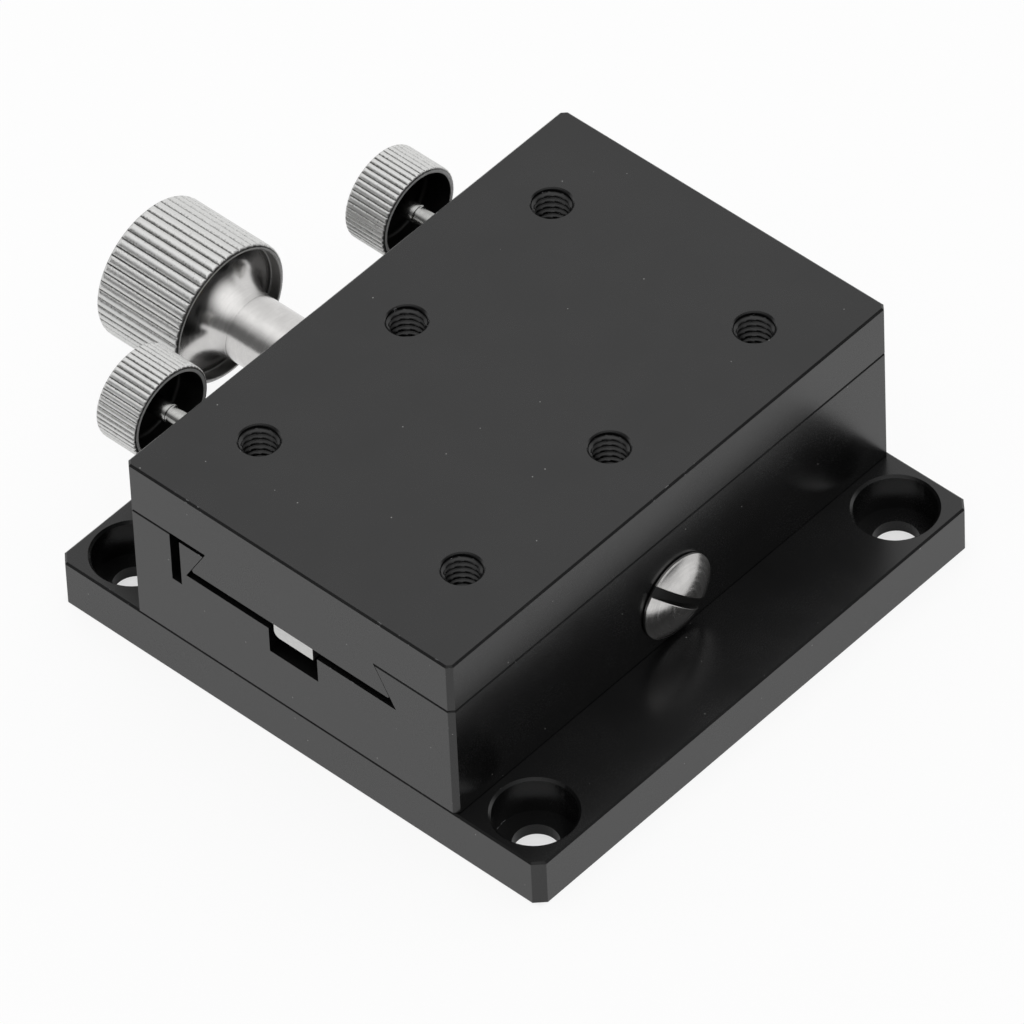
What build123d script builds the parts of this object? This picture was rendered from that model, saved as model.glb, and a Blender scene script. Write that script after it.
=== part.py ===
from build123d import *
import math
import os

# Manual dovetail stage with a rack and pinion drive, in millimetres.
# The origin is the centre of the base plate's bottom face.
# X is the direction of travel, Y runs across it towards the knobs, and Z is up.

# The plate, the block and the table are equally long, and the block and the table equally wide
stage_length = 60.0
slide_width = 40.0

# Base plate
plate_width = 60.0
plate_thickness = 5.5
plate_corner = 1.0
edge_break = 0.2

# Four counterbored holes for the user's M4 cap screws, in from the plate's edges
mount_inset = 5.0
mount_hole_diameter = 4.5
mount_head_diameter = 8.0
mount_head_depth = 4.2
mount_rim_break = 0.25

# Base block, the fixed half of the dovetail
block_corner = 0.5
bore_floor_wall = 0.75
seam_break = 0.1

# Table, the moving half of the dovetail
table_thickness = 5.9
table_corner = 0.5
slide_gap = 0.1

# Tapped M4 holes in the table, two rows of three
tapped_pitch_x = 20.0
tapped_columns = 3
tapped_pitch_y = 25.0
tapped_diameter = 4.0
tapped_rim_break = 0.12

# Dovetail
dovetail_neck_width = 20.8
dovetail_depth = 3.35
dovetail_angle = 60.0
dovetail_tip_break = 0.25
dovetail_side_gap = 0.08
groove_floor_gap = 1.0

# Spring lip, cut free from the block by a slit beside the groove
lip_root_thickness = 0.65
lip_relief = 0.3
slit_width = 1.2
slit_depth = 5.9

# Channel in the groove floor, where the pinion meets the rack
channel_width = 6.0
channel_depth = 3.0
channel_y = -0.25

# Rack and pinion teeth
gear_module = 0.5
pinion_teeth = 12
pressure_angle = 20.0
dedendum_factor = 1.25
backlash = 0.08
flank_points = 5
sweep_steps = 40

# Rack, a flat bar screwed under the dovetail
rack_side_gap = 0.6
rack_back = 1.625
rack_end_land = 8.0
rack_end_recess = 0.1
rack_land_round = 0.7

# Rack screws, M2 countersunk
rack_screw_inset = 4.0
rack_screw_diameter = 2.0
rack_screw_head_diameter = 3.6
rack_screw_length = 5.0
rack_screw_slot_width = 0.5
rack_screw_slot_depth = 0.45

# Pinion shaft, whose full diameter is the pinion's own
journal_diameter = 5.0
journal_hole_clearance = 0.25
journal_end_recess = 0.3
spigot_diameter = 5.0
spigot_end_recess = 0.6
shaft_thread_depth = 7.0
toothed_runout = 1.2
running_gap = 0.03
seat_gap = 0.02

# Bushes
bush_length = 5.0
bush_wall = 0.7

# Drive knob
drive_knob_diameter = 15.0
drive_knob_length = 10.4
drive_knob_standoff = 15.6
drive_knob_dish_depth = 1.25
drive_knob_rim_wall = 0.6
drive_knob_flare = 3.0
drive_knob_dish_corner = 0.2
drive_knob_edge = 0.5
drive_knob_lip = 0.3
drive_knob_knurl_count = 50
drive_knob_knurl_depth = 0.26
knurl_flat_share = 0.3

# Grub screw that holds the drive knob on the shaft
grub_diameter = 3.0
grub_length = 4.0
grub_socket_size = 1.5
grub_socket_depth = 1.5

# Slotted tension screw and the washers under its head, sunk in the block
tension_head_diameter = 9.0
tension_head_gap = 0.1
tension_rim_height = 0.35
tension_dome_height = 1.2
tension_thread_diameter = 3.0
tension_thread_length = 6.0
tension_slot_width = 1.1
tension_slot_depth = 1.35
tension_slot_angle = 45.0
friction_washer_inset = 0.3
friction_washer_thickness = 0.25
spring_washer_inset = 0.8
spring_washer_thickness = 0.25
washer_bore_clearance = 0.1
washer_recess_clearance = 0.05

# Clamp screws
clamp_spread = 34.0
clamp_drop = 2.55
clamp_knob_diameter = 10.0
clamp_knob_length = 5.0
clamp_knob_standoff = 6.9
clamp_knob_rim_wall = 0.65
clamp_knob_dish_depth = 3.2
clamp_knob_dish_corner = 0.4
clamp_knob_edge = 0.35
clamp_knob_lip = 0.2
clamp_knob_knurl_count = 50
clamp_knob_knurl_depth = 0.2
clamp_shank_diameter = 2.0
clamp_neck_diameter = 1.7
clamp_thread_diameter = 2.0
clamp_thread_outside = 2.0
clamp_tip_diameter = 1.2
clamp_tip_length = 1.9
clamp_tip_proud = 0.7

# Screws from below that hold the block on the plate, M3 socket heads
base_screw_pitch_x = 44.0
base_screw_pitch_y = 22.0
base_screw_diameter = 3.0
base_screw_head_diameter = 5.5
base_screw_head_height = 3.0
base_screw_head_recess = 0.4
base_screw_length = 8.0
base_screw_socket_size = 2.5
base_screw_socket_depth = 1.4
base_screw_clearance = 0.1
base_screw_head_clearance = 0.2
blind_hole_spare = 0.6

# Travel stop, a pin in the groove floor and a slot under the table
travel = 15.0
stop_pin_diameter = 2.5
stop_pin_length = 6.5
stop_pin_x = 8.0
stop_pin_y = 7.0
stop_slot_clearance = 0.15
stop_slot_depth = 1.7

# How far cutters run past the faces they cut
overrun = 1.0

# Rack and pinion sizes
tooth_pitch = math.pi * gear_module
pitch_radius = gear_module * pinion_teeth / 2
shaft_diameter = gear_module * (pinion_teeth + 2)
tooth_depth = gear_module * (1 + dedendum_factor)
rack_width = channel_width - 2 * rack_side_gap

# Heights worked out from the sizes above
knob_bush_radius = shaft_diameter / 2 + running_gap + bush_wall
pinion_drop = (dovetail_depth - slide_gap + rack_back + tooth_depth - gear_module + pitch_radius)
block_height = pinion_drop + knob_bush_radius + seat_gap + bore_floor_wall
block_bottom = plate_thickness
block_top = block_bottom + block_height
table_bottom = block_top + slide_gap
table_top = table_bottom + table_thickness
dovetail_bottom = table_bottom - dovetail_depth
groove_floor = dovetail_bottom - groove_floor_gap
channel_floor = groove_floor - channel_depth
clamp_z = block_top - clamp_drop
pinion_z = block_top - pinion_drop
rack_root_z = dovetail_bottom - rack_back
rack_tip_z = rack_root_z - tooth_depth

# Places across the stage
knob_face_y = slide_width / 2
screw_face_y = -slide_width / 2
channel_low_y = channel_y - channel_width / 2
channel_high_y = channel_y + channel_width / 2
flank_slope = 1 / math.tan(math.radians(dovetail_angle))
groove_floor_half_width = (dovetail_neck_width / 2 + dovetail_side_gap
                           + (table_bottom - groove_floor) * flank_slope)
slit_low_y = groove_floor_half_width + lip_root_thickness
slit_high_y = slit_low_y + slit_width
spring_washer_y = screw_face_y - tension_head_gap + spring_washer_thickness
washer_floor_y = spring_washer_y + running_gap + friction_washer_thickness
journal_end_y = washer_floor_y + journal_end_recess
drive_knob_y = knob_face_y + drive_knob_standoff
clamp_knob_y = knob_face_y + clamp_knob_standoff
clamp_tip_y = slit_low_y + running_gap
mount_pitch_x = stage_length - 2 * mount_inset
mount_pitch_y = plate_width - 2 * mount_inset
stop_slot_width = stop_pin_diameter + 2 * stop_slot_clearance
stop_pin_foot = dovetail_bottom + stop_slot_depth - 2 * stop_slot_clearance - stop_pin_length


def bar(length, width, low, high, x=0.0, y=0.0):
    """A box centred on x and y, between two heights."""
    return Pos(x, y, (low + high) / 2) * Box(length, width, high - low)


def prism_along_x(outline, length):
    """A closed outline of (y, z) points, drawn out along X about the middle."""
    face = make_face(Polyline(*outline, close=True))
    return extrude(Plane.YZ * face, amount=length / 2, both=True)


def upright(diameter, low, high, x=0.0, y=0.0):
    """A round bar along Z between two heights."""
    return Pos(x, y, (low + high) / 2) * Cylinder(diameter / 2, high - low)


def crosswise(diameter, low, high, x=0.0, z=0.0):
    """A round bar along Y between two places."""
    return Pos(x, (low + high) / 2, z) * Rot(90, 0, 0) * Cylinder(diameter / 2, high - low)


def turned(outline, x=0.0, z=0.0):
    """A closed outline of (radius, y) points or a face, turned about a line along Y."""
    face = outline if isinstance(outline, Sketch) else make_face(Polyline(*outline, close=True))
    return Pos(x, 0, z) * revolve(face, Axis.Y, 360)


def slab(length, width, low, high, corner, top_break, bottom_break):
    """A plate with chamfered upright corners and broken top and bottom edges."""
    outline = chamfer(Rectangle(length, width).vertices(), corner)
    body = Pos(0, 0, low) * extrude(outline, amount=high - low)
    body = chamfer(body.faces().sort_by(Axis.Z)[-1].edges(), top_break)
    return chamfer(body.faces().sort_by(Axis.Z)[0].edges(), bottom_break)


def grid(pitch_x, pitch_y, columns=2):
    """Places of two rows of holes, pitch_x apart along X and pitch_y across."""
    return [((i - (columns - 1) / 2) * pitch_x, side * pitch_y / 2)
            for i in range(columns) for side in (-1, 1)]


def rim_cone(diameter, size, height, x, y):
    """A 45 degree cutter that breaks the rim of a hole in a top face."""
    spread = Cone(diameter / 2, diameter / 2 + 2 * size, 2 * size)
    return Pos(x, y, height) * spread


def male_outline(extra_up):
    """The table's dovetail, seen along X, carried up into the table by extra_up."""
    neck = dovetail_neck_width / 2
    foot = neck + dovetail_depth * flank_slope
    tip = dovetail_tip_break
    return [(-neck, table_bottom + extra_up), (-neck, table_bottom),
            (-foot + tip * flank_slope, dovetail_bottom + tip), (-foot + tip, dovetail_bottom),
            (foot - tip, dovetail_bottom), (foot - tip * flank_slope, dovetail_bottom + tip),
            (neck, table_bottom), (neck, table_bottom + extra_up)]


def groove_outline(extra_up):
    """The block's dovetail groove, seen along X, open above by extra_up."""
    floor = groove_floor_half_width
    top = floor - (block_top + extra_up - groove_floor) * flank_slope
    return [(-floor, groove_floor), (floor, groove_floor),
            (top, block_top + extra_up), (-top, block_top + extra_up)]


def make_base_plate():
    """Square plate with four counterbored corners and four screw holes from below."""
    plate = slab(stage_length, plate_width, 0, plate_thickness, plate_corner, edge_break, edge_break)
    head_floor = plate_thickness - mount_head_depth
    for x, y in grid(mount_pitch_x, mount_pitch_y):
        plate -= upright(mount_hole_diameter, 0, plate_thickness, x, y)
        plate -= upright(mount_head_diameter, head_floor, plate_thickness, x, y)
        plate -= rim_cone(mount_head_diameter, mount_rim_break, plate_thickness, x, y)
    head_room = base_screw_head_recess + base_screw_head_height
    for x, y in grid(base_screw_pitch_x, base_screw_pitch_y):
        plate -= upright(base_screw_diameter + 2 * base_screw_clearance, 0, plate_thickness, x, y)
        plate -= upright(base_screw_head_diameter + 2 * base_screw_head_clearance, 0, head_room, x, y)
    return plate


def make_base_block():
    """Block with the dovetail groove, the slit lip, the pinion bore and the clamp holes."""
    block = slab(stage_length, slide_width, block_bottom, block_top, block_corner,
                 seam_break, seam_break)
    past_end = stage_length + 2 * overrun
    block -= prism_along_x(groove_outline(overrun), past_end)
    block -= bar(past_end, channel_width, channel_floor, groove_floor + overrun, y=channel_y)
    block -= bar(past_end, slit_width, block_top - slit_depth, block_top + overrun,
                 y=(slit_low_y + slit_high_y) / 2)
    block -= bar(past_end, slit_high_y, block_top - lip_relief, block_top + overrun,
                 y=slit_high_y / 2)
    block -= crosswise(shaft_diameter + 2 * running_gap, channel_low_y, knob_face_y, z=pinion_z)
    block -= crosswise(journal_diameter + 2 * journal_hole_clearance, screw_face_y, channel_low_y,
                       z=pinion_z)
    block -= crosswise(2 * (knob_bush_radius + seat_gap), knob_face_y - bush_length, knob_face_y,
                       z=pinion_z)
    screw_seat = journal_diameter + 2 * (running_gap + bush_wall + seat_gap)
    block -= crosswise(screw_seat, screw_face_y, washer_floor_y + bush_length, z=pinion_z)
    washer_recess = tension_head_diameter - 2 * (friction_washer_inset - washer_recess_clearance)
    block -= crosswise(washer_recess, screw_face_y, washer_floor_y, z=pinion_z)
    for x in (-clamp_spread / 2, clamp_spread / 2):
        block -= crosswise(clamp_thread_diameter + 2 * running_gap, slit_high_y - slit_width / 2,
                           knob_face_y, x, clamp_z)
    screw_top = base_screw_head_recess + base_screw_head_height + base_screw_length
    for x, y in grid(base_screw_pitch_x, base_screw_pitch_y):
        block -= upright(base_screw_diameter + 2 * seat_gap, block_bottom,
                         screw_top + blind_hole_spare, x, y)
    block -= upright(stop_pin_diameter + 2 * seat_gap, stop_pin_foot, groove_floor,
                     stop_pin_x, stop_pin_y)
    return block


def make_base_screws():
    """Four M3 socket head screws, heads down in the base plate."""
    seat = base_screw_head_recess + base_screw_head_height
    socket = extrude(RegularPolygon(base_screw_socket_size / 2, 6, major_radius=False),
                     amount=base_screw_socket_depth)
    screws = []
    for x, y in grid(base_screw_pitch_x, base_screw_pitch_y):
        head = upright(base_screw_head_diameter, base_screw_head_recess, seat, x, y)
        screw = head + upright(base_screw_diameter, seat, seat + base_screw_length, x, y)
        screws.append(screw - Pos(x, y, base_screw_head_recess) * socket)
    return Compound(children=screws)


def make_stop_pin():
    """Dowel pin that stands in the groove floor and stops the table at both ends."""
    return upright(stop_pin_diameter, stop_pin_foot, stop_pin_foot + stop_pin_length,
                   stop_pin_x, stop_pin_y)


def make_slide_table():
    """Table plate with its dovetail, tapped holes, stop slot and rack screw holes."""
    table = slab(stage_length, slide_width, table_bottom, table_top, table_corner,
                 edge_break, seam_break)
    table += prism_along_x(male_outline(table_thickness / 2), stage_length)
    for x, y in grid(tapped_pitch_x, tapped_pitch_y, tapped_columns):
        table -= upright(tapped_diameter, table_bottom, table_top, x, y)
        table -= rim_cone(tapped_diameter, tapped_rim_break, table_top, x, y)
    slot = SlotCenterToCenter(2 * travel, stop_slot_width)
    table -= Pos(stop_pin_x, stop_pin_y, dovetail_bottom) * extrude(slot, amount=stop_slot_depth)
    for x in rack_screw_places():
        table -= upright(rack_screw_diameter + 2 * seat_gap, dovetail_bottom,
                         rack_root_z + rack_screw_length + blind_hole_spare, x, channel_y)
    return table


def rack_screw_places():
    """Places of the two rack screws along the rack."""
    reach = stage_length / 2 - rack_end_recess - rack_screw_inset
    return (-reach, reach)


def rack_half_thickness(depth):
    """Half thickness of a rack tooth at a depth past the pitch line, towards its tip."""
    slope = math.tan(math.radians(pressure_angle))
    return tooth_pitch / 4 - depth * slope


def make_rack():
    """Flat bar with straight-sided teeth and a plain land, rounded on the knob side, at each end."""
    length = stage_length - 2 * rack_end_recess
    toothed = length / 2 - rack_end_land
    count = int(toothed / tooth_pitch - 0.5)
    root_depth = -dedendum_factor * gear_module
    root_half = rack_half_thickness(root_depth) - backlash / 4
    tip_half = rack_half_thickness(gear_module) - backlash / 4
    outline = [(-length / 2, dovetail_bottom), (-length / 2, rack_root_z)]
    for k in range(-count, count + 1):
        middle = k * tooth_pitch
        outline += [(middle - root_half, rack_root_z), (middle - tip_half, rack_tip_z),
                    (middle + tip_half, rack_tip_z), (middle + root_half, rack_root_z)]
    outline += [(length / 2, rack_root_z), (length / 2, dovetail_bottom)]
    side = Plane.XZ * make_face(Polyline(*outline, close=True))
    rack = Pos(0, channel_y, 0) * extrude(side, amount=rack_width / 2, both=True)
    edges = rack.edges().filter_by(Axis.X).group_by(Axis.Y)[-1]
    land_edges = [e for e in edges if abs(e.center().X) > toothed]
    rack = fillet(land_edges, rack_land_round)
    for x in rack_screw_places():
        rack -= rack_screw_body(x, seat_gap)
    return rack


def rack_screw_body(x, gap):
    """Shank and countersunk head of a rack screw, its shank larger all round by gap."""
    radius = rack_screw_diameter / 2
    head_radius = rack_screw_head_diameter / 2
    rise = head_radius - radius
    shank = upright(rack_screw_diameter + 2 * gap, rack_root_z, rack_root_z + rack_screw_length,
                    x, channel_y)
    head = Pos(x, channel_y, rack_root_z + rise / 2) * Cone(head_radius, radius, rise)
    return shank + head


def make_rack_screws():
    """Two countersunk screws that hold the rack under the dovetail."""
    screws = []
    for x in rack_screw_places():
        slot = bar(rack_screw_head_diameter + overrun, rack_screw_slot_width, rack_root_z,
                   rack_root_z + rack_screw_slot_depth, x, channel_y)
        screws.append(rack_screw_body(x, 0) - slot)
    return Compound(children=screws)


def gap_half_angle(radius):
    """Half angle of a pinion tooth gap at a radius, swept out by a rolling rack tooth."""
    widest = 0.0
    tip_depth = dedendum_factor * gear_module
    for i in range(sweep_steps + 1):
        depth = -gear_module + (tip_depth + gear_module) * i / sweep_steps
        height = pitch_radius - depth
        if radius < height:
            continue
        across = math.sqrt(radius ** 2 - height ** 2)
        half = rack_half_thickness(depth) + backlash / 4
        for offset in (-across, across):
            angle = math.atan2(offset, height) - (offset - half) / pitch_radius
            widest = max(widest, angle)
    return widest


def pinion_outline():
    """The pinion's tooth outline about its own centre, with a gap facing up."""
    root = pitch_radius - dedendum_factor * gear_module
    tip = shaft_diameter / 2
    radii = [root + (tip - root) * i / (flank_points - 1) for i in range(flank_points)]
    points = []
    for k in range(pinion_teeth):
        middle = math.pi / 2 - 2 * math.pi * k / pinion_teeth
        left = [(r, middle + gap_half_angle(r)) for r in reversed(radii)]
        right = [(r, middle - gap_half_angle(r)) for r in radii]
        points += [(r * math.cos(a), r * math.sin(a)) for r, a in left + right]
    return points


def make_pinion_shaft():
    """Shaft with the pinion teeth cut in it, a journal and a spigot for the knob."""
    shoulder = channel_low_y + running_gap
    toothed_end = channel_high_y + toothed_runout
    face = make_face(Polyline(*pinion_outline(), close=True))
    teeth = Pos(0, toothed_end, pinion_z) * extrude(Plane.XZ * face, amount=toothed_end - shoulder)
    neck_end = drive_knob_hub_y()
    spigot_end = drive_knob_y + drive_knob_length - spigot_end_recess
    shaft = teeth + crosswise(shaft_diameter, toothed_end, neck_end, z=pinion_z)
    shaft += crosswise(spigot_diameter, neck_end, spigot_end, z=pinion_z)
    shaft += crosswise(journal_diameter, journal_end_y, shoulder, z=pinion_z)
    shaft -= crosswise(tension_thread_diameter + 2 * seat_gap, journal_end_y,
                       journal_end_y + shaft_thread_depth, z=pinion_z)
    return shaft


def drive_knob_hub_y():
    """Where the shaft's full diameter ends and the knob's hub begins."""
    return drive_knob_y + drive_knob_dish_depth - drive_knob_flare


def knurled_section(radius, depth, count, y, shrink):
    """Outline of a knurled bar across it at y: V grooves with narrow flats between them."""
    flat_start = (1 - knurl_flat_share) / 2
    scale = 1 - shrink / radius
    points = []
    for k in range(count):
        for share, r in ((0, radius - depth), (flat_start, radius), (1 - flat_start, radius)):
            angle = 2 * math.pi * (k + share) / count
            points.append((scale * r * math.cos(angle), y, scale * r * math.sin(angle)))
    return make_face(Polyline(*points, close=True)).faces()[0]


def knurled_blank(radius, depth, count, edge, lip, low, high):
    """A knurled bar along Y whose ends draw in, by lip at the near end and by edge at the far."""
    stations = [(low, lip), (low + edge, 0), (high - edge, 0), (high, edge)]
    sections = [knurled_section(radius, depth, count, y, shrink) for y, shrink in stations]
    return loft(sections, ruled=True)


def dish_outline(bore, radius, rim_wall, dish_depth, corner, low, high):
    """Half outline of a knob from its dish floor out over the rim and back to the far end of its bore."""
    dish_floor = low + dish_depth
    dish_radius = radius - rim_wall
    past_rim = radius + overrun
    return [(dish_radius - corner, dish_floor), (dish_radius, dish_floor - corner),
            (dish_radius, low), (past_rim, low), (past_rim, high), (bore, high)]


def make_drive_knob():
    """Knurled knob, dished towards the block, with a hub that flares out of the shaft."""
    radius = drive_knob_diameter / 2
    low = drive_knob_y
    high = low + drive_knob_length
    bore = spigot_diameter / 2 + seat_gap
    hub = shaft_diameter / 2
    hub_end = drive_knob_hub_y()
    dish_floor = low + drive_knob_dish_depth
    dish = dish_outline(bore, radius, drive_knob_rim_wall, drive_knob_dish_depth,
                        drive_knob_dish_corner, low, high)
    outline = make_face(Polyline((bore, hub_end), (hub, hub_end), (hub, dish_floor), *dish, close=True))
    flare_foot = outline.vertices().sort_by_distance((hub, dish_floor))[0]
    outline = fillet(flare_foot, drive_knob_flare - seat_gap)
    blank = knurled_blank(radius, drive_knob_knurl_depth, drive_knob_knurl_count,
                          drive_knob_edge, drive_knob_lip, low, high)
    hub_room = crosswise(2 * (radius - drive_knob_rim_wall), hub_end, low)
    knob = Pos(0, 0, pinion_z) * (turned(outline) & (blank + hub_room))
    return knob - upright(grub_diameter + 2 * seat_gap, pinion_z - radius - overrun, pinion_z,
                          y=grub_y())


def grub_y():
    """Place of the grub screw, in the middle of the knob's solid web."""
    web_low = drive_knob_y + drive_knob_dish_depth
    return (web_low + drive_knob_y + drive_knob_length) / 2


def make_drive_knob_grub():
    """Grub screw from below through the knob onto the shaft's spigot."""
    top = pinion_z - spigot_diameter / 2
    grub = upright(grub_diameter, top - grub_length, top, y=grub_y())
    socket = extrude(RegularPolygon(grub_socket_size / 2, 6, major_radius=False),
                     amount=grub_socket_depth)
    return grub - Pos(0, grub_y(), top - grub_length) * socket


def make_bush(inner_diameter, low, high):
    """Plain bush along Y between two places."""
    inner = inner_diameter / 2 + running_gap
    outer = inner + bush_wall
    return turned([(inner, low), (outer, low), (outer, high), (inner, high)], z=pinion_z)


def make_washer(inset, thickness, high):
    """Flat washer, its rim inside the tension screw's head by inset and its block side at high."""
    inner = tension_thread_diameter / 2 + washer_bore_clearance
    outer = tension_head_diameter / 2 - inset
    low = high - thickness
    return turned([(inner, low), (outer, low), (outer, high), (inner, high)], z=pinion_z)


def make_tension_screw():
    """Domed, slotted screw in the end of the shaft, which sets the drag of the drive."""
    seat = spring_washer_y - spring_washer_thickness
    rim = seat - tension_rim_height
    crown = rim - tension_dome_height
    radius = tension_head_diameter / 2
    thread = tension_thread_diameter / 2
    thread_end = journal_end_y + tension_thread_length
    shape = [Line((0, thread_end), (thread, thread_end)), Line((thread, thread_end), (thread, seat)),
             Line((thread, seat), (radius, seat)), Line((radius, seat), (radius, rim)),
             dome_arc(radius, rim, crown), Line((0, crown), (0, thread_end))]
    screw = turned(make_face(Curve() + shape), z=pinion_z)
    slot = Box(2 * tension_head_diameter, tension_slot_depth, tension_slot_width)
    slot = Pos(0, crown + tension_slot_depth / 2, pinion_z) * Rot(0, tension_slot_angle, 0) * slot
    return screw - slot


def dome_arc(radius, rim, crown):
    """Arc from a head's rim to the top of its dome."""
    height = rim - crown
    ball = (radius ** 2 + height ** 2) / (2 * height)
    half = math.asin(radius / ball) / 2
    middle = (ball * math.sin(half), crown + ball * (1 - math.cos(half)))
    return ThreePointArc((radius, rim), middle, (0, crown))


def make_clamp_knob(x):
    """Small knurled knob with a deep dish towards the block."""
    radius = clamp_knob_diameter / 2
    low = clamp_knob_y
    high = low + clamp_knob_length
    bore = clamp_shank_diameter / 2 + seat_gap
    dish = dish_outline(bore, radius, clamp_knob_rim_wall, clamp_knob_dish_depth,
                        clamp_knob_dish_corner, low, high)
    blank = knurled_blank(radius, clamp_knob_knurl_depth, clamp_knob_knurl_count,
                          clamp_knob_edge, clamp_knob_lip, low, high)
    return Pos(x, 0, clamp_z) * (turned([(bore, low + clamp_knob_dish_depth), *dish]) & blank)


def make_clamp_stud(x):
    """Screw pressed in the clamp knob: plain shank, undercut neck and threaded end."""
    shank = clamp_shank_diameter / 2
    neck = clamp_neck_diameter / 2
    thread = clamp_thread_diameter / 2
    end = clamp_knob_y + clamp_knob_length
    foot = clamp_tip_y + clamp_tip_proud
    shoulder = clamp_knob_y
    thread_start = knob_face_y + clamp_thread_outside
    outline = [(0, foot), (thread, foot), (thread, thread_start), (neck, thread_start),
               (neck, shoulder), (shank, shoulder), (shank, end), (0, end)]
    stud = turned(outline, x, clamp_z)
    return stud - crosswise(clamp_tip_diameter + 2 * seat_gap, foot,
                            clamp_tip_y + clamp_tip_length, x, clamp_z)


def make_clamp_tip(x):
    """Brass slug in the end of the clamp screw, which spares the spring lip."""
    return crosswise(clamp_tip_diameter, clamp_tip_y, clamp_tip_y + clamp_tip_length, x, clamp_z)


front_clamp_x = -clamp_spread / 2
rear_clamp_x = clamp_spread / 2
parts = {
    "base_plate": make_base_plate(),
    "base_block": make_base_block(),
    "base_screws": make_base_screws(),
    "stop_pin": make_stop_pin(),
    "slide_table": make_slide_table(),
    "rack": make_rack(),
    "rack_screws": make_rack_screws(),
    "pinion_shaft": make_pinion_shaft(),
    "knob_side_bush": make_bush(shaft_diameter, knob_face_y - bush_length, knob_face_y),
    "screw_side_bush": make_bush(journal_diameter, washer_floor_y, washer_floor_y + bush_length),
    "drive_knob": make_drive_knob(),
    "drive_knob_grub_screw": make_drive_knob_grub(),
    "friction_washer": make_washer(friction_washer_inset, friction_washer_thickness, washer_floor_y),
    "spring_washer": make_washer(spring_washer_inset, spring_washer_thickness, spring_washer_y),
    "tension_screw": make_tension_screw(),
    "front_clamp_knob": make_clamp_knob(front_clamp_x),
    "front_clamp_stud": make_clamp_stud(front_clamp_x),
    "front_clamp_tip": make_clamp_tip(front_clamp_x),
    "rear_clamp_knob": make_clamp_knob(rear_clamp_x),
    "rear_clamp_stud": make_clamp_stud(rear_clamp_x),
    "rear_clamp_tip": make_clamp_tip(rear_clamp_x),
}

os.makedirs("parts", exist_ok=True)
for name, shape in parts.items():
    export_step(shape, f"parts/{name}.step")
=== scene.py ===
"""Looks of a manual dovetail stage with a rack and pinion drive.

Everything is in metres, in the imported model's own frame: X is the direction of travel,
Y runs across it towards the knobs, and Z is up. Sizes named in millimetres are turned
into metres where a mesh is made.
"""

import logging
import math
from dataclasses import dataclass
from enum import Enum
from typing import Callable, Iterable, Optional, Sequence

import bmesh
import bpy
from mathutils import Matrix, Vector


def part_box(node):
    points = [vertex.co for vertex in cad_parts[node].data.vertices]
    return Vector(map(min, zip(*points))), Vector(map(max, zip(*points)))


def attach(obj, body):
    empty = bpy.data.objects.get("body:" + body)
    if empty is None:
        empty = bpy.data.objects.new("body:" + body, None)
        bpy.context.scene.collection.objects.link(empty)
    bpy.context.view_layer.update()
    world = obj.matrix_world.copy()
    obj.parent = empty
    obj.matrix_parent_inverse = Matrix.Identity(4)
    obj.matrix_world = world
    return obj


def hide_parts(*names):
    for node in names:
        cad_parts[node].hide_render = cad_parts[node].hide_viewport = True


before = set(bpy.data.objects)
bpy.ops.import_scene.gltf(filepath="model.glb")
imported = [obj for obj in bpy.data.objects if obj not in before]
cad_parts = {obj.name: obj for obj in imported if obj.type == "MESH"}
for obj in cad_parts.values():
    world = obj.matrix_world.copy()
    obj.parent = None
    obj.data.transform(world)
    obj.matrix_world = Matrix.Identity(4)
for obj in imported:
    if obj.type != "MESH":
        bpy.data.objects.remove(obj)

MM = 0.001
LOG = logging.getLogger("stage")
JOIN_GAP = 1e-8
FLAT_GAP = 1e-9

Row = tuple[float, float, bool]
Point = tuple[float, float]
Place = tuple[float, float, float]
Colour = tuple[float, float, float]
Socket = bpy.types.NodeSocket


class Slot(Enum):
    """The record's material slots."""

    ANODISED = "black_anodised_aluminium"
    KNURLED = "knurled_stainless"
    POLISHED = "polished_steel"
    RACK = "rack_steel"
    BLACK_STEEL = "black_oxide_steel"
    BRASS = "brass"
    POLYMER = "polymer_washer"


class KnobStyle(Enum):
    """How a knob's dish meets the screw or shaft in its middle."""

    FLARED = "flared"
    PLAIN = "plain"


def scaled(colour: Colour, share: float) -> Colour:
    """Gives a colour at a share of its brightness."""
    return tuple(part * share for part in colour)


def around(value: float, steps: Point) -> Point:
    """Gives the two ends of a span that lie the given steps from a value."""
    return value + steps[0], value + steps[1]


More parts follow.
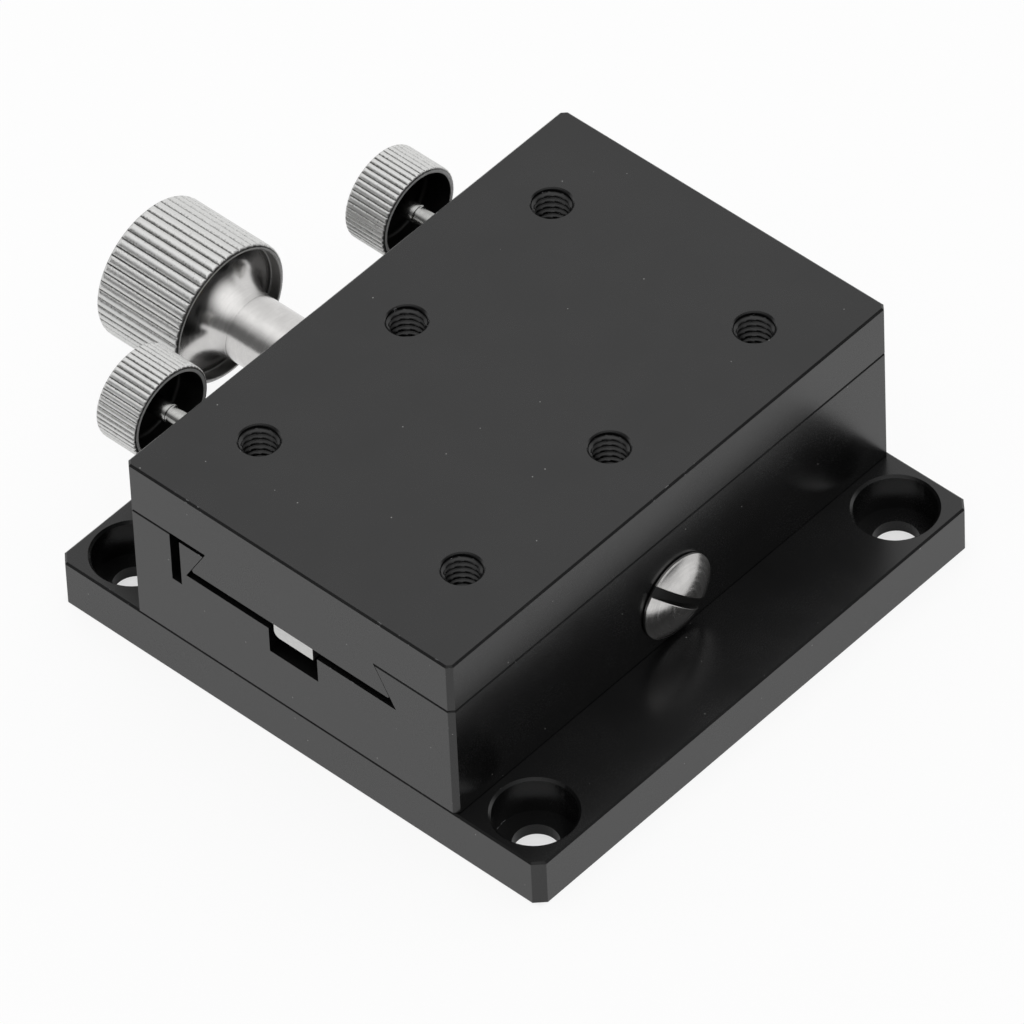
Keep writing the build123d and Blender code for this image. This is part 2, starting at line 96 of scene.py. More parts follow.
class ShaderSheet:
    """One node tree, with short calls for what the finishes and the studio share."""

    def __init__(self, owner: bpy.types.ID) -> None:
        """Starts on the node tree of a new material or world.

        Args:
            owner: The material or world that is drawn.
        """
        owner.use_nodes = True
        self.tree = owner.node_tree
        self.surface = self.tree.nodes.get("Principled BSDF")

    def node(self, kind: str) -> bpy.types.Node:
        """Adds a node of one kind."""
        return self.tree.nodes.new(kind)

    def feed(self, socket: Socket, value: object) -> None:
        """Links a socket to another, or sets it to a constant.

        Args:
            socket: The input that is set.
            value: An output socket, or a plain value.
        """
        if isinstance(value, Socket):
            self.tree.links.new(value, socket)
        else:
            socket.default_value = value

    def paint(self, name: str, value: object) -> None:
        """Feeds one of the surface shader's own inputs, such as Roughness."""
        self.feed(self.surface.inputs[name], value)

    def painted(self, name: str) -> Socket:
        """Gives what feeds one of the surface shader's inputs so far."""
        return self.surface.inputs[name].links[0].from_socket

    def place(self) -> Socket:
        """Gives the point on the piece in millimetres, which stays with the piece when it moves."""
        return self.vector("MULTIPLY", self.node("ShaderNodeTexCoord").outputs["Object"], (1 / MM,) * 3)

    def maths(self, operation: str, first: object, second: object = 0.0) -> Socket:
        """Adds a maths node.

        Args:
            operation: Its operation, such as MULTIPLY.
            first: Its first value or socket.
            second: Its second value or socket.

        Returns:
            The result's output.
        """
        made = self.node("ShaderNodeMath")
        made.operation = operation
        self.feed(made.inputs[0], first)
        self.feed(made.inputs[1], second)
        return made.outputs[0]

    def vector(self, operation: str, first: object, second: object = (0.0, 0.0, 0.0)) -> Socket:
        """Adds a vector maths node.

        Args:
            operation: Its operation, such as CROSS_PRODUCT.
            first: Its first vector or socket.
            second: Its second vector or socket.

        Returns:
            The result's output, a plain number for a length or a dot product.
        """
        made = self.node("ShaderNodeVectorMath")
        made.operation = operation
        self.feed(made.inputs[0], first)
        self.feed(made.inputs[1], second)
        return made.outputs["Value" if operation in ("LENGTH", "DOT_PRODUCT") else "Vector"]

    def parts(self, vector: Socket) -> bpy.types.NodeOutputs:
        """Splits a vector into its X, Y and Z.

        Args:
            vector: The vector.

        Returns:
            The node's outputs, one for each part.
        """
        made = self.node("ShaderNodeSeparateXYZ")
        self.feed(made.inputs[0], vector)
        return made.outputs

    def noise(self, vector: Socket, scale: float, detail: float = 3.0) -> Socket:
        """Adds a noise texture.

        Args:
            vector: The point it is read at.
            scale: Its cycles per millimetre.
            detail: How many finer layers it has.

        Returns:
            The noise, about 0.5 on average.
        """
        made = self.node("ShaderNodeTexNoise")
        self.feed(made.inputs["Vector"], vector)
        self.feed(made.inputs["Scale"], scale)
        self.feed(made.inputs["Detail"], detail)
        return made.outputs["Fac"]

    def span(self, value: Socket, reach: Point, result: Point = (0.0, 1.0), smooth: bool = False) -> Socket:
        """Maps a value from one span onto another, held at both ends.

        Args:
            value: The value that is mapped.
            reach: The values that the first span starts and ends at.
            result: What they become.
            smooth: Whether the map eases in and out.

        Returns:
            The mapped value.
        """
        made = self.node("ShaderNodeMapRange")
        if smooth:
            made.interpolation_type = "SMOOTHSTEP"
        self.feed(made.inputs["Value"], value)
        for name, end in zip(("From Min", "From Max", "To Min", "To Max"), (*reach, *result)):
            self.feed(made.inputs[name], end)
        return made.outputs["Result"]

    def blend(self, share: Socket, first: object, second: object) -> Socket:
        """Mixes two colours.

        Args:
            share: How much of the second there is.
            first: The first colour, as a socket or three numbers.
            second: The second colour, as a socket or three numbers.

        Returns:
            The mixed colour.
        """
        made = self.node("ShaderNodeMix")
        made.data_type = "RGBA"
        self.feed(made.inputs["Factor"], share)
        for socket, colour in ((made.inputs["A"], first), (made.inputs["B"], second)):
            self.feed(socket, colour if isinstance(colour, Socket) else (*colour, 1.0))
        return made.outputs["Result"]

    def bump(self, height: Socket, depth_mm: float, below: Optional[Socket] = None) -> Socket:
        """Turns a height into a surface normal.

        Args:
            height: The height, from 0 to 1.
            depth_mm: How deep a height of 1 is.
            below: The normal of a coarser bump under this one.

        Returns:
            The normal.
        """
        made = self.node("ShaderNodeBump")
        self.feed(made.inputs["Strength"], 1.0)
        self.feed(made.inputs["Distance"], depth_mm * MM)
        self.feed(made.inputs["Height"], height)
        if below is not None:
            self.feed(made.inputs["Normal"], below)
        return made.outputs["Normal"]


@dataclass(frozen=True)
class Finish:
    """A surface finish, which makes its material once and dresses pieces with it."""

    name: str
    slot: Slot

    def shade(self, sheet: ShaderSheet) -> None:
        """Draws the finish on an empty sheet."""
        raise NotImplementedError

    def material(self) -> bpy.types.Material:
        """Gives this finish's material, made on its first use.

        Returns:
            The material.
        """
        found = bpy.data.materials.get(self.name)
        if found is None:
            found = bpy.data.materials.new(self.name)
            self.shade(ShaderSheet(found))
        return found

    def dress(self, piece: bpy.types.Object) -> None:
        """Gives a piece this finish all over.

        Args:
            piece: The object that is dressed.
        """
        if not piece.material_slots:
            piece.data.materials.append(self.material())
        for slot in piece.material_slots:
            slot.material = self.material()


@dataclass(frozen=True)
class AnodisedFinish(Finish):
    """Black anodised aluminium: a fine satin grain, faint cloudiness, dust and a few nicks."""

    tone: float = 0.006
    dull_share: Colour = (0.80, 0.80, 0.82)
    bright_share: Colour = (1.22, 1.22, 1.25)
    gloss: float = 0.25
    gloss_swing: Point = (-0.02, 0.02)
    grain_mm: float = 0.09
    grain_swing: Point = (-0.035, 0.035)
    grain_depth_mm: float = 0.0012
    grain_span: Point = (0.25, 0.75)
    cloud_mm: float = 7.0
    cloud_span: Point = (0.3, 0.7)
    dust_mm: float = 1.5
    dust_radius_mm: float = 0.085
    dust_core: float = 0.6
    dust_share: float = 0.3
    dust_cover: float = 0.75
    dust_colour: Colour = (0.32, 0.32, 0.31)
    edge_mm: float = 0.12
    edge_match: Point = (0.90, 0.98)
    nicks_per_mm: float = 1.1
    nick_rarity: Point = (0.66, 0.70)
    nick_cover: float = 0.7
    nick_colour: Colour = (0.42, 0.42, 0.43)

    def shade(self, sheet: ShaderSheet) -> None:
        """Draws the anodised finish.

        Args:
            sheet: The empty sheet.
        """
        place = sheet.place()
        grain = sheet.noise(place, 1 / self.grain_mm)
        cloud = sheet.noise(place, 1 / self.cloud_mm, 2.0)
        dull, bright = (scaled(share, self.tone) for share in (self.dull_share, self.bright_share))
        colour = sheet.blend(sheet.span(cloud, self.cloud_span), dull, bright)
        dust = sheet.maths("MULTIPLY", self.dust(sheet, place), self.dust_cover)
        colour = sheet.blend(dust, colour, self.dust_colour)
        sheet.paint("Base Color", sheet.blend(self.nicks(sheet, place), colour, self.nick_colour))
        fine = sheet.span(grain, self.grain_span, self.grain_swing)
        wide = sheet.span(cloud, self.cloud_span, around(self.gloss, self.gloss_swing))
        sheet.paint("Roughness", sheet.maths("ADD", fine, wide))
        sheet.paint("Normal", sheet.bump(grain, self.grain_depth_mm))

    def dust(self, sheet: ShaderSheet, place: Socket) -> Socket:
        """Marks small scattered specks of dust.

        Args:
            sheet: The sheet it is drawn on.
            place: The point on the piece in millimetres.

        Returns:
            1 on a speck and 0 off it.
        """
        cells = sheet.node("ShaderNodeTexVoronoi")
        sheet.feed(cells.inputs["Vector"], place)
        sheet.feed(cells.inputs["Scale"], 1 / self.dust_mm)
        reach = self.dust_radius_mm / self.dust_mm
        speck = sheet.span(cells.outputs["Distance"], (reach * self.dust_core, reach), (1.0, 0.0))
        draw = sheet.node("ShaderNodeSeparateColor")
        sheet.feed(draw.inputs[0], cells.outputs["Color"])
        return sheet.maths("MULTIPLY", speck, sheet.maths("LESS_THAN", draw.outputs[0], self.dust_share))

    def nicks(self, sheet: ShaderSheet, place: Socket) -> Socket:
        """Marks the few places where an edge is worn to bare metal.

        Args:
            sheet: The sheet it is drawn on.
            place: The point on the piece in millimetres.

        Returns:
            Above 0 on a nick and 0 off it.
        """
        rounded = sheet.node("ShaderNodeBevel")
        sheet.feed(rounded.inputs["Radius"], self.edge_mm * MM)
        plain = sheet.node("ShaderNodeNewGeometry")
        match = sheet.vector("DOT_PRODUCT", rounded.outputs["Normal"], plain.outputs["Normal"])
        edge = sheet.span(match, self.edge_match, (1.0, 0.0))
        patches = sheet.noise(place, self.nicks_per_mm, 4.0)
        return sheet.maths("MULTIPLY", edge, sheet.span(patches, self.nick_rarity, (0.0, self.nick_cover)))


@dataclass(frozen=True)
class TurnedFinish(Finish):
    """Metal turned on a lathe: fine rings about its own axis, on a polished or satin ground."""

    axis_x_mm: float = 0.0
    axis_z_mm: float = 0.0
    colour: Colour = (0.63, 0.62, 0.61)
    gloss: float = 0.2
    gloss_swing: Point = (-0.05, 0.07)
    ring_mm: float = 0.12
    ring_span: Point = (0.25, 0.75)
    ring_depth_mm: float = 0.002
    brushed: float = 0.35
    worn_share: float = 0.78
    worn_span: Point = (0.12, 0.36)
    clouds_per_mm: float = 0.8
    turn_share: float = 0.25

    def shade(self, sheet: ShaderSheet) -> None:
        """Draws the turned finish.

        Args:
            sheet: The empty sheet.
        """
        place = sheet.place()
        rings = sheet.noise(self.unrolled(sheet, place), 1 / self.ring_mm, 4.0)
        worn = sheet.maths("MULTIPLY", rings, sheet.noise(place, self.clouds_per_mm))
        clean = sheet.span(worn, self.worn_span)
        sheet.paint("Base Color", sheet.blend(clean, scaled(self.colour, self.worn_share), self.colour))
        sheet.paint("Metallic", 1.0)
        sheet.paint("Roughness", sheet.span(rings, self.ring_span, around(self.gloss, self.gloss_swing)))
        sheet.paint("Anisotropic", self.brushed)
        sheet.paint("Tangent", sheet.vector("CROSS_PRODUCT", (0.0, 1.0, 0.0), self.offset(sheet, place)))
        sheet.paint("Normal", sheet.bump(rings, self.ring_depth_mm))

    def offset(self, sheet: ShaderSheet, place: Socket) -> Socket:
        """Gives the point measured from the piece's own axis."""
        return sheet.vector("SUBTRACT", place, (self.axis_x_mm, 0.0, self.axis_z_mm))

    def radius(self, sheet: ShaderSheet, place: Socket) -> Socket:
        """Gives the distance from the piece's own axis in millimetres."""
        return sheet.vector("LENGTH", sheet.vector("MULTIPLY", self.offset(sheet, place), (1.0, 0.0, 1.0)))

    def unrolled(self, sheet: ShaderSheet, place: Socket) -> Socket:
        """Gives a point that hardly changes round the axis, so that noise on it makes rings.

        Args:
            sheet: The sheet it is drawn on.
            place: The point on the piece in millimetres.

        Returns:
            The vector of radius, place along the axis and a little of the turn.
        """
        apart = sheet.parts(self.offset(sheet, place))
        turn = sheet.maths("ARCTAN2", apart["X"], apart["Z"])
        together = sheet.node("ShaderNodeCombineXYZ")
        sheet.feed(together.inputs["X"], self.radius(sheet, place))
        sheet.feed(together.inputs["Y"], apart["Y"])
        sheet.feed(together.inputs["Z"], sheet.maths("MULTIPLY", turn, self.turn_share))
        return together.outputs["Vector"]


@dataclass(frozen=True)
class KnurledFinish(TurnedFinish):
    """Rolled knurl on a turned knob: matt and grainy outside, darker towards the bottom of the valleys,
    painted shade on the dish's outer wall.
    """

    crest_mm: float = 7.5
    valley_mm: float = 7.24
    dish_mm: float = 6.9
    dish_step_mm: Point = (0.03, 0.08)
    lip_step_mm: Point = (-0.1, -0.05)
    wall_mm: Point = (6.2, 6.8)
    wall_share: float = 0.4
    wall_roughness: float = 0.3
    floor_mm: float = 37.0
    matt: float = 0.33
    matt_swing: Point = (-0.06, 0.06)
    grain_mm: float = 0.19
    grain_span: Point = (0.3, 0.7)
    pit_depth_mm: float = 0.026
    rolled: Colour = (0.66, 0.66, 0.65)
    valley_dark_share: float = 0.25
    valley_dark_swing: Point = (-0.3, 0.3)
    valley_dark_end: float = 0.8
    rolled_metal: float = 0.88
    lip_metal: float = 0.1

    def shade(self, sheet: ShaderSheet) -> None:
        """Draws the knurled finish over the turned one.

        Args:
            sheet: The empty sheet.
        """
        super().shade(sheet)
        place = sheet.place()
        radius = self.radius(sheet, place)
        grain = sheet.noise(place, 1 / self.grain_mm, 4.0)
        outside = sheet.span(radius, around(self.dish_mm, self.dish_step_mm))
        lip = sheet.span(radius, around(self.valley_mm, self.lip_step_mm), (1.0, 0.0))
        knurl = sheet.blend(lip, self.valley_darkened(sheet, radius, grain), self.rolled)
        # painted shade: the dish's outer wall is blended towards black, as if it lay in its own shadow
        shaded = self.in_shade(sheet, radius, place)
        inside = sheet.blend(shaded, sheet.painted("Base Color"), (0.0, 0.0, 0.0))
        sheet.paint("Base Color", sheet.blend(outside, inside, knurl))
        bare = sheet.span(lip, (0.0, 1.0), (1.0 - self.rolled_metal, 1.0 - self.lip_metal))
        sheet.paint("Metallic", sheet.maths("SUBTRACT", 1.0, sheet.maths("MULTIPLY", outside, bare)))
        walls = sheet.maths("MULTIPLY", shaded, self.wall_roughness)
        smooth = sheet.maths("ADD", sheet.painted("Roughness"), walls)
        rough = sheet.span(grain, self.grain_span, around(self.matt, self.matt_swing))
        change = sheet.maths("MULTIPLY", outside, sheet.maths("SUBTRACT", rough, smooth))
        sheet.paint("Roughness", sheet.maths("ADD", smooth, change))
        pits = sheet.maths("MULTIPLY", grain, outside)
        sheet.paint("Normal", sheet.bump(pits, self.pit_depth_mm, sheet.painted("Normal")))

    def valley_darkened(self, sheet: ShaderSheet, radius: Socket, grain: Socket) -> Socket:
        """Gives the knurl's colour, darker towards the bottom of its valleys.

        Args:
            sheet: The sheet it is drawn on.
            radius: The distance from the knob's axis.
            grain: The noise that breaks the edge of the darkening.

        Returns:
            The colour.
        """
        # the colour is darkened towards the bottom of the knurl's valleys
        raised = sheet.span(radius, (self.valley_mm, self.crest_mm))
        broken = sheet.span(grain, self.grain_span, self.valley_dark_swing)
        clean = sheet.span(sheet.maths("ADD", raised, broken), (0.0, self.valley_dark_end))
        return sheet.blend(clean, scaled(self.rolled, self.valley_dark_share), self.rolled)

    def in_shade(self, sheet: ShaderSheet, radius: Socket, place: Socket) -> Socket:
        """Marks the outer part of the dish, which lies in its own shade.

        Args:
            sheet: The sheet it is drawn on.
            radius: The distance from the knob's axis.
            place: The point on the knob in millimetres.

        Returns:
            How much darker it is, 0 in the dish's middle and beyond its floor.
        """
        dished = sheet.maths("LESS_THAN", sheet.parts(place)["Y"], self.floor_mm)
        shade = sheet.span(radius, self.wall_mm, (0.0, 1.0 - self.wall_share))
        return sheet.maths("MULTIPLY", shade, dished)


@dataclass(frozen=True)
class GrainedFinish(Finish):
    """An even finish with a fine grain: ground steel, black oxide, brass or a plain polymer."""

    colour: Colour = (0.7, 0.7, 0.7)
    metal: float = 1.0
    gloss: float = 0.3
    grain_mm: Place = (0.1, 0.1, 0.1)
    depth_mm: float = 0.002
    dark_share: float = 0.82
    dark_span: Point = (0.35, 0.65)
    gloss_span: Point = (0.3, 0.7)
    gloss_swing: Point = (-0.05, 0.06)

    def shade(self, sheet: ShaderSheet) -> None:
        """Draws the grained finish.

        Args:
            sheet: The empty sheet.
        """
        grain = sheet.noise(sheet.vector("DIVIDE", sheet.place(), self.grain_mm), 1.0, 4.0)
        clean = sheet.span(grain, self.dark_span)
        sheet.paint("Base Color", sheet.blend(clean, scaled(self.colour, self.dark_share), self.colour))
        sheet.paint("Metallic", self.metal)
        sheet.paint("Roughness", sheet.span(grain, self.gloss_span, around(self.gloss, self.gloss_swing)))
        sheet.paint("Normal", sheet.bump(grain, self.depth_mm))


ANODISED = AnodisedFinish("black_anodised_satin", Slot.ANODISED)
BLACK_OXIDE = GrainedFinish("black_oxide", Slot.BLACK_STEEL, (0.035, 0.035, 0.037), metal=0.0, gloss=0.38)
BRASS = GrainedFinish("turned_brass", Slot.BRASS, (0.72, 0.53, 0.24), gloss=0.25, grain_mm=(0.3, 0.05, 0.3))


class MeshDraft:
    """Points and faces of one piece, gathered ring by ring before the piece is made."""

    def __init__(self) -> None:
        """Starts with nothing."""
        self.points: list[Vector] = []
        self.faces: list[tuple[int, ...]] = []

    def ring(self, points: Iterable[Vector]) -> list[int]:
        """Adds a row of points.

        Args:
            points: The points in order.

        Returns:
            Their numbers.
        """
        start = len(self.points)
        self.points.extend(points)
        return list(range(start, len(self.points)))

    def strip(self, first: Sequence[int], second: Sequence[int], closed: bool = True) -> None:
        """Joins two rows of equal length with quads.

        Args:
            first: The numbers of the first row.
            second: The numbers of the second row.
            closed: Whether the rows run all the way round.
        """
        count = len(first)
        for i in range(count if closed else count - 1):
            j = (i + 1) % count
            self.faces.append((first[i], first[j], second[j], second[i]))

    def cap(self, ring: Sequence[int]) -> None:
        """Closes a ring with one face."""
        self.faces.append(tuple(ring))

    def piece(self, name: str, sharp_degrees: float = 32.0) -> bpy.types.Object:
        """Makes the object, with doubled points joined and faces turned outwards.

        Args:
            name: The piece's name.
            sharp_degrees: Edges that turn by more than this stay crisp.

        Returns:
            The new object, in the scene.
        """
        mesh = bpy.data.meshes.new(name)
        mesh.from_pydata(self.points, [], self.faces)
        work = bmesh.new()
        work.from_mesh(mesh)
        bmesh.ops.remove_doubles(work, verts=work.verts, dist=JOIN_GAP)
        bmesh.ops.dissolve_degenerate(work, dist=FLAT_GAP, edges=work.edges)
        bmesh.ops.recalc_face_normals(work, faces=work.faces)
        work.to_mesh(mesh)
        work.free()
        mesh.shade_smooth()
        mesh.set_sharp_from_angle(angle=math.radians(sharp_degrees))
        made = bpy.data.objects.new(name, mesh)
        bpy.context.scene.collection.objects.link(made)
        return made


def turns(count: int) -> list[float]:
    """Gives evenly spaced angles all the way round, in radians."""
    return [2 * math.pi * k / count for k in range(count)]


def quarter(centre: Point, size: float, start: float, end: float, steps: int = 6) -> list[Point]:
    """Gives points along an arc.

    Args:
        centre: The arc's centre, as radius and place along the axis.
        size: The arc's radius.
        start: Its first angle in degrees, 0 pointing away from the axis.
        end: Its last angle in degrees.
        steps: How many pieces it has.

    Returns:
        The points in order, both ends with them.
    """
    angles = [math.radians(start + (end - start) * i / steps) for i in range(steps + 1)]
    return [(centre[0] + size * math.cos(a), centre[1] + size * math.sin(a)) for a in angles]


def thread_rise(along: float, angle: float, pitch: float) -> float:
    """Gives the height of a right-hand thread at a point.

    Args:
        along: The place along the axis.
        angle: The angle about the axis, in radians.
        pitch: The thread's pitch, in the unit of along.

    Returns:
        0 at the root and 1 at the crest.
    """
    share = (along / pitch - angle / (2 * math.pi)) % 1.0
    from_crest = abs(share - 0.5) * 2
    crest_flat = 0.125
    root_flat = 0.2
    return min(1.0, max(0.0, (1.0 - root_flat - from_crest) / (1.0 - root_flat - crest_flat)))


@dataclass
class Axis:
    """A line along Y that a turned piece is made about."""

    x: float
    z: float

    def at(self, radius: float, angle: float, along: float) -> Vector:
        """Gives a point at a radius, an angle about +Y from +Z, and a place along Y."""
        return Vector((self.x + radius * math.sin(angle), along, self.z + radius * math.cos(angle)))

    def turn(self, draft: MeshDraft, rows: Sequence[Point], columns: int,
             rule: Optional[Callable[[float, float, float], float]] = None) -> list[list[int]]:
        """Lays one ring of points for each row of a half outline.

        Args:
            draft: The draft that takes the rings.
            rows: The outline, as radius and place along Y.
            columns: How many points each ring has.
            rule: Gives the radius from the row's radius, place and angle.

        Returns:
            The rings, each joined to the one before it.
        """
        rings = []
        for radius, along in rows:
            points = [self.at(rule(radius, along, a) if rule else radius, a, along) for a in turns(columns)]
            rings.append(draft.ring(points))
            if len(rings) > 1:
                draft.strip(rings[-2], rings[-1])
        return rings


@dataclass
class TappedHoles:
    """The M4 threads in the table's six holes."""

    node: str
    body: str
    finish: AnodisedFinish
    columns_of_holes: int = 3
    pitch_x_mm: float = 20.0
    pitch_y_mm: float = 25.0
    major_mm: float = 4.0
    core_mm: float = 3.3
    thread_pitch_mm: float = 0.7
    rim_mm: float = 0.12
    plate_mm: float = 5.9
    lead_turns: float = 0.6
    back_mm: float = 0.01
    rows_per_turn: int = 10
    columns: int = 56
    sharp_degrees: float = 50.0

    def places(self) -> list[Point]:
        """Gives the holes' centres, in rows along Y.

        Returns:
            The centres, as X and Y.
        """
        middle = (self.columns_of_holes - 1) / 2
        return [((i - middle) * self.pitch_x_mm * MM, side * self.pitch_y_mm * MM / 2)
                for i in range(self.columns_of_holes) for side in (-1, 1)]

    def sleeve(self, name: str, x: float, y: float) -> bpy.types.Object:
        """Makes the thread of one hole.

        Args:
            name: The piece's name.
            x: The hole's centre along X.
            y: The hole's centre along Y.

        Returns:
            The thread, a thin sleeve against the hole's wall.
        """
        pitch = self.thread_pitch_mm * MM
        wall = self.major_mm * MM / 2
        crest = self.core_mm * MM / 2
        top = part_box(self.node)[1].z - self.rim_mm * MM
        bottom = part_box(self.node)[1].z - self.plate_mm * MM
        count = math.ceil((top - bottom) / pitch * self.rows_per_turn)
        run_out = self.lead_turns * pitch
        draft = MeshDraft()
        rings = []
        for i in range(count + 1):
            height = bottom + (top - bottom) * i / count
            lead = min(1.0, (top - height) / run_out, (height - bottom) / run_out)
            points = []
            for angle in turns(self.columns):
                rise = lead * thread_rise(height, angle, pitch)
                radius = wall - (wall - crest) * rise
                points.append(Vector((x + radius * math.cos(angle), y + radius * math.sin(angle), height)))
            rings.append(draft.ring(points))
        back = wall + self.back_mm * MM
        for height in (top, bottom):
            rings.append(draft.ring(
                Vector((x + back * math.cos(angle), y + back * math.sin(angle), height))
                for angle in turns(self.columns)))
        for first, second in zip(rings, rings[1:] + rings[:1]):
            draft.strip(first, second)
        return draft.piece(name, self.sharp_degrees)

    def build(self) -> None:
        """Makes and dresses the thread of every hole."""
        for number, (x, y) in enumerate(self.places(), 1):
            thread = self.sleeve(f"tapped_thread_{number}", x, y)
            self.finish.dress(thread)
            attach(thread, self.body)
            LOG.info("%s cut in %s", thread.name, self.node)


@dataclass
class KnurledKnob:
    """A turned knob with a straight knurl, dished towards the block."""

    node: str
    body: str
    style: KnobStyle
    finish: KnurledFinish
    axis: Axis
    length_mm: float
    knurl_count: int
    knurl_depth_mm: float
    rim_wall_mm: float
    dish_depth_mm: float
    dish_corner_mm: float
    end_round_mm: float
    bore_mm: float
    rim_round_mm: float
    shaft_mm: float = 0.0
    flare_mm: Point = (0.0, 0.0)
    grub_hole_mm: float = 0.0
    grub_along_mm: float = 0.0
    samples: int = 16
    flare_steps: int = 24
    rim_steps: int = 5
    side_steps: int = 8
    end_steps: int = 9
    drill_columns: int = 48
    ridge_roundness: float = 1.9
    sharp_degrees: float = 38.0
    sleeve_mm: float = 0.005
    inner_break_mm: float = 0.08

    def size(self) -> Place:
        """Gives the near rim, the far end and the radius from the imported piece."""
        low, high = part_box(self.node)
        return high.y - self.length_mm * MM, high.y, (high.z - low.z) / 2

    def middle(self) -> list[Point]:
        """Gives the outline in the middle of the dish, from the bore to the dish floor.

        Returns:
            Points as radius and place along Y.
        """
        floor = self.size()[0] + self.dish_depth_mm * MM
        bore = self.bore_mm * MM / 2
        if self.style is KnobStyle.PLAIN:
            inner = self.inner_break_mm * MM
            return [(bore, floor + inner), (bore + inner, floor)]
        sleeve = (self.shaft_mm / 2 + self.sleeve_mm) * MM
        hub = sleeve + self.sleeve_mm * MM
        reach, rise = (size * MM for size in self.flare_mm)
        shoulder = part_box(self.node)[0].y
        arc = quarter((0.0, 0.0), 1.0, 180.0, 90.0, self.flare_steps)
        return [(bore, shoulder), (sleeve, shoulder), (sleeve, floor - rise)] + [
            (hub + reach * (1 + out), floor - rise * (1 - along)) for out, along in arc]

    def outline(self) -> list[Row]:
        """Gives the whole closed half outline.

        Returns:
            Rows of radius, place along Y and whether the knurl cuts there.
        """
        low, high, radius = self.size()
        floor = low + self.dish_depth_mm * MM
        dish = radius - self.rim_wall_mm * MM
        corner = self.dish_corner_mm * MM
        inner = self.inner_break_mm * MM
        rim = self.rim_round_mm * MM
        end = self.end_round_mm * MM
        bore = self.bore_mm * MM / 2
        rows = [(r, y, False) for r, y in self.middle()]
        rows += [(r, y, False) for r, y in quarter((dish - corner, floor - corner), corner, 90.0, 0.0)]
        rows += [(dish, low + inner, False), (dish + inner, low, False)]
        rows += [(r, y, True) for r, y in quarter((radius - rim, low + rim), rim, -90.0, 0.0, self.rim_steps)]
        count = self.side_steps
        start = low + rim
        stop = high - end
        rows += [(radius, start + (stop - start) * i / count, True) for i in range(1, count)]
        rows += [(r, y, True) for r, y in quarter((radius - end, stop), end, 0.0, 90.0, self.end_steps)]
        rows += [(bore + inner, high, False), (bore, high - inner, False)]
        return rows

    def groove(self, angle: float) -> float:
        """Gives how deep the knurl cuts at an angle.

        Args:
            angle: The angle about the knob's axis, in radians.

        Returns:
            0 on a ridge and 1 at the bottom of a valley.
        """
        share = (angle * self.knurl_count / (2 * math.pi)) % 1.0
        from_valley = min(share, 1.0 - share)
        from_ridge = 1.0 - 2 * from_valley
        return 1.0 - math.sqrt(1.0 - min(1.0, from_ridge) ** self.ridge_roundness)

    def build(self) -> None:
        """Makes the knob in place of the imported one, and dresses it."""
        radius = self.size()[2]
        depth = self.knurl_depth_mm * MM
        angles = turns(self.knurl_count * self.samples)
        draft = MeshDraft()
        rings = []
        for row_radius, along, knurled in self.outline():
            points = []
            for angle in angles:
                cut = radius - depth * self.groove(angle)
                points.append(self.axis.at(min(row_radius, cut) if knurled else row_radius, angle, along))
            rings.append(draft.ring(points))
        for first, second in zip(rings, rings[1:] + rings[:1]):
            draft.strip(first, second)
        knob = draft.piece(f"{self.node}_turned", self.sharp_degrees)
        if self.grub_hole_mm:
            self.drill(knob)
        self.finish.dress(knob)
        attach(knob, self.body)
        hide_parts(self.node)
        LOG.info("%s knurled with %d ridges", knob.name, self.knurl_count)

    def drill(self, knob: bpy.types.Object) -> None:
        """Cuts the grub screw's hole up into the knob from below.

        Args:
            knob: The finished knob.
        """
        along = self.size()[0] + self.grub_along_mm * MM
        radius = self.grub_hole_mm * MM / 2
        draft = MeshDraft()
        rings = []
        for height in (self.axis.z - 2 * self.size()[2], self.axis.z):
            rings.append(draft.ring(
                Vector((self.axis.x + radius * math.cos(a), along + radius * math.sin(a), height))
                for a in turns(self.drill_columns)))
        draft.strip(rings[0], rings[1])
        draft.cap(rings[0])
        draft.cap(rings[1])
        drill = draft.piece("drill")
        cut = knob.modifiers.new("hole", "BOOLEAN")
        cut.operation = "DIFFERENCE"
        cut.solver = "EXACT"
        cut.object = drill
        bpy.context.view_layer.update()
        ready = knob.evaluated_get(bpy.context.evaluated_depsgraph_get())
        mesh = bpy.data.meshes.new_from_object(ready)
        mesh.shade_smooth()
        mesh.set_sharp_from_angle(angle=math.radians(self.sharp_degrees))
        knob.modifiers.clear()
        knob.data = mesh
        bpy.data.objects.remove(drill)


